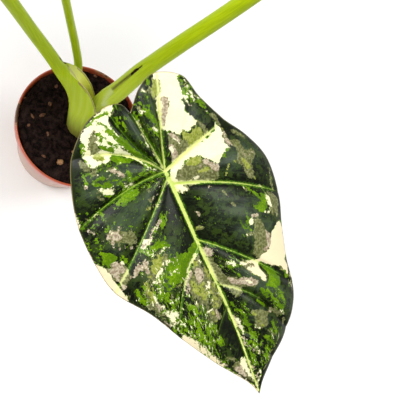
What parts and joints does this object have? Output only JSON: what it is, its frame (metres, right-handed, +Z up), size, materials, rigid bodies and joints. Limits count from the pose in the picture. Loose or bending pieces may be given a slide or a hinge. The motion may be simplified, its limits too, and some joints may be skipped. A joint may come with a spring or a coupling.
{
  "type": "potted alocasia plant",
  "caption": "Variegated alocasia house plant: peltate, veined leaf blades on sheathed petioles from one base, growing in potting mix in a tapered terracotta-coloured plastic pot",
  "frame": {"origin": "middle of the pot's flat underside, on the surface that it stands on", "axes": "+Z up; -Y is the side that the largest face-on leaf hangs over; +X to its right"},
  "size_m": [0.4445, 0.4341, 0.3668],
  "materials": {
    "terracotta_plastic": "smooth moulded plastic in terracotta, gently shiny",
    "peat_mix": null,
    "rhizome_skin": null,
    "petiole_green": null,
    "variegated_leaf": null
  },
  "bodies": {
    "root": {"pot": "terracotta_plastic", "potting_mix": "peat_mix", "rhizome": "rhizome_skin", "petiole_front": "petiole_green", "petiole_left": "petiole_green", "petiole_right": "petiole_green", "petiole_back": "petiole_green", "blade_front": "variegated_leaf", "blade_left": "variegated_leaf", "blade_right": "variegated_leaf", "blade_back": "variegated_leaf"}
  },
  "joints": []
}
